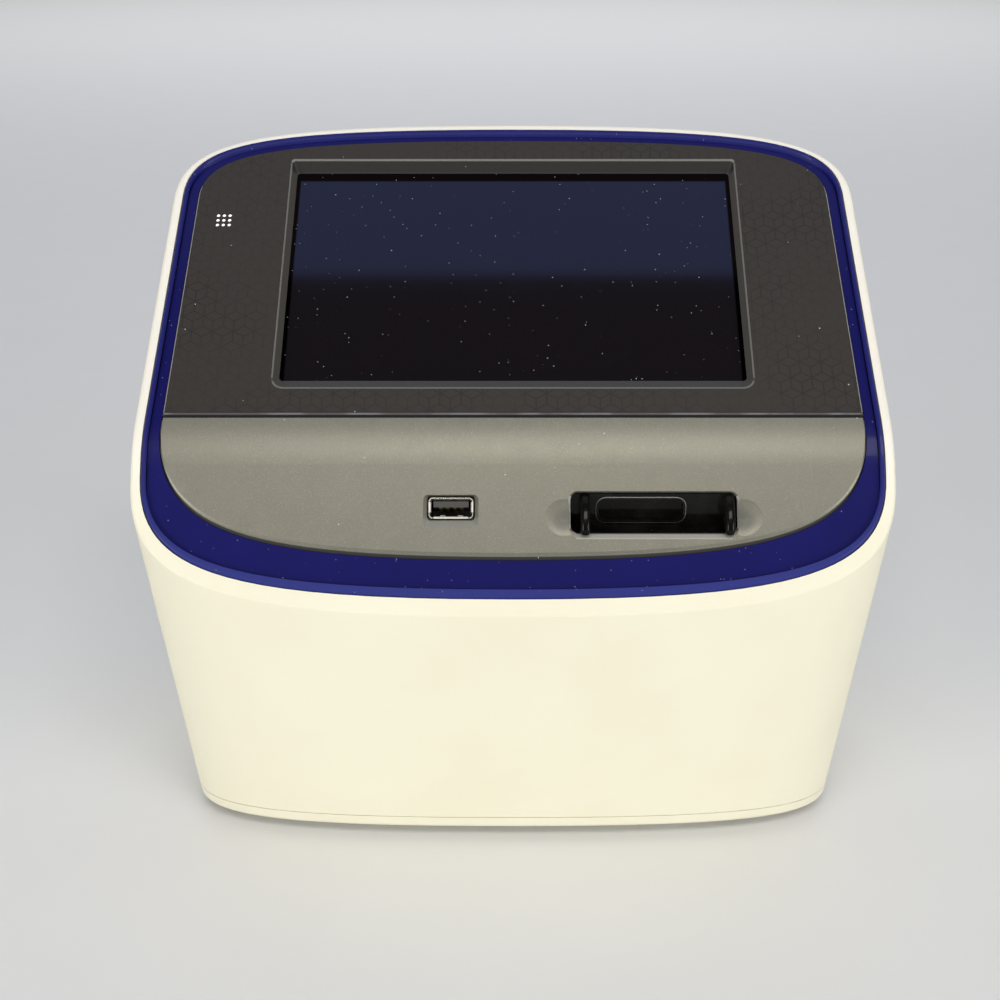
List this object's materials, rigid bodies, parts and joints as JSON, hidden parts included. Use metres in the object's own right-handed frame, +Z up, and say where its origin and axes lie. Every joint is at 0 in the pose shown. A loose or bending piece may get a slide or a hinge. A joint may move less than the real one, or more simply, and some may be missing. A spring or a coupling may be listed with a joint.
{
  "type": "automated cell counter",
  "caption": "Bench-top automated cell counter: leaning touch display over a sprung counting-slide port and USB socket, with its focus stage and light-cube shuttle inside.",
  "frame": {"origin": "bench plane under the feet, at the middle of the overall width and depth", "axes": "+X to the user's right along the width, +Y from the user to the rear, +Z up"},
  "size_m": [0.241, 0.1392, 0.2251],
  "materials": {
    "shell_white": "fine moulded texture, warm white",
    "ring_blue": "satin gloss, deep blue",
    "panel_dark": "satin painted, dark brown grey",
    "panel_grey": "satin metallic paint, warm grey",
    "screen_glass": "polished cover glass",
    "display_black": "black film",
    "port_black": "satin moulded black",
    "socket_black": "moulded black",
    "socket_grey": "moulded warm grey",
    "plated_steel": "bright nickel plate",
    "contact_gold": "gold flash",
    "zinc_steel": "zinc plated",
    "machined_aluminium": "machined and bead blasted",
    "anodised_black": "black anodised",
    "motor_steel": "blackened laminations",
    "lens_glass": "coated optical glass",
    "board_green": "solder mask",
    "guide_white": "milky translucent",
    "foot_rubber": "soft moulded rubber"
  },
  "bodies": {
    "instrument": {"main_shell": "shell_white", "bottom_cover": "shell_white", "cube_door": "shell_white", "rubber_feet": "foot_rubber", "cover_screws": "zinc_steel", "door_screws": "zinc_steel", "trim_ring": "ring_blue", "upper_bezel": "panel_dark", "lower_bezel": "panel_grey", "touch_glass": "screen_glass", "display_panel": "display_black", "display_tray": "zinc_steel", "board_standoffs": "zinc_steel", "mainboard": "board_green", "heat_sink": "anodised_black", "indicator_guide": "guide_white", "indicator_board": "board_green", "usb_shell": "plated_steel", "usb_tongue": "socket_grey", "usb_contacts": "contact_gold", "usb_board": "board_green", "slide_port": "port_black", "flap_pin": "zinc_steel", "slide_stage": "machined_aluminium", "carriage_spring": "zinc_steel", "optics_tower": "machined_aluminium", "illuminator_arm": "anodised_black", "condenser_lens": "lens_glass", "led_board": "board_green", "focus_guide": "zinc_steel", "focus_motor": "motor_steel", "guide_rods": "zinc_steel", "rod_brackets": "machined_aluminium", "shuttle_motor": "motor_steel", "screw_bearing": "machined_aluminium", "motor_bracket": "machined_aluminium", "tube_lens": "anodised_black", "tube_glass": "lens_glass", "camera_case": "machined_aluminium", "camera_board": "board_green", "image_sensor": "display_black", "chassis_plate": "zinc_steel", "rocker_frame": "port_black", "dc_jack": "socket_black", "jack_pin": "plated_steel", "power_board": "board_green", "board_posts": "zinc_steel"},
    "slide_carriage": {"slide_carriage": "port_black"},
    "light_flap": {"light_flap": "port_black"},
    "power_rocker": {"power_rocker": "port_black"},
    "focus_carriage": {"focus_carriage": "machined_aluminium", "objective": "anodised_black", "objective_lens": "lens_glass"},
    "focus_screw": {"focus_screw": "zinc_steel"},
    "cube_shuttle": {"cube_shuttle": "machined_aluminium", "light_cube_a": "anodised_black", "light_cube_b": "anodised_black", "beam_splitters": "lens_glass"},
    "shuttle_screw": {"shuttle_screw": "zinc_steel"}
  },
  "joints": [
    {"name": "slide_carriage_travel", "type": "slide", "parent": "instrument", "child": "slide_carriage", "axis": [0, 1, 0], "range_m": [0, 0.004], "stiffness_N_per_m": 300, "springref_m": -0.004, "deforming": ["carriage_spring"]},
    {"name": "light_flap_hinge", "type": "hinge", "parent": "instrument", "child": "light_flap", "pos_m": [0.0404, -0.04484, 0.1299], "axis": [1, 0, 0], "range_deg": [0, 75], "stiffness_Nm_per_rad": 0.002, "springref_deg": -11.46},
    {"name": "power_rocker_pivot", "type": "hinge", "parent": "instrument", "child": "power_rocker", "pos_m": [-0.066, 0.0629, 0.038], "axis": [1, 0, 0], "range_deg": [0, 14]},
    {"name": "focus_slide", "type": "slide", "parent": "instrument", "child": "focus_carriage", "axis": [0, 0, 1], "range_m": [-0.0015, 0.0015]},
    {"name": "focus_screw_spin", "type": "hinge", "parent": "instrument", "child": "focus_screw", "pos_m": [0.064, 0.001, 0.083], "axis": [0, 0, 1], "range_deg": [-541, 541]},
    {"name": "cube_shuttle_travel", "type": "slide", "parent": "instrument", "child": "cube_shuttle", "axis": [1, 0, 0], "range_m": [-0.024, 0.024]},
    {"name": "shuttle_screw_spin", "type": "hinge", "parent": "instrument", "child": "shuttle_screw", "pos_m": [-0.03, -0.048, 0.056], "axis": [1, 0, 0], "range_deg": [-1081, 1081]}
  ],
  "couplings": [
    {"joint": "focus_screw_spin", "follows": "focus_slide", "rad_per_m": -6283.2},
    {"joint": "shuttle_screw_spin", "follows": "cube_shuttle_travel", "rad_per_m": -785.4}
  ]
}
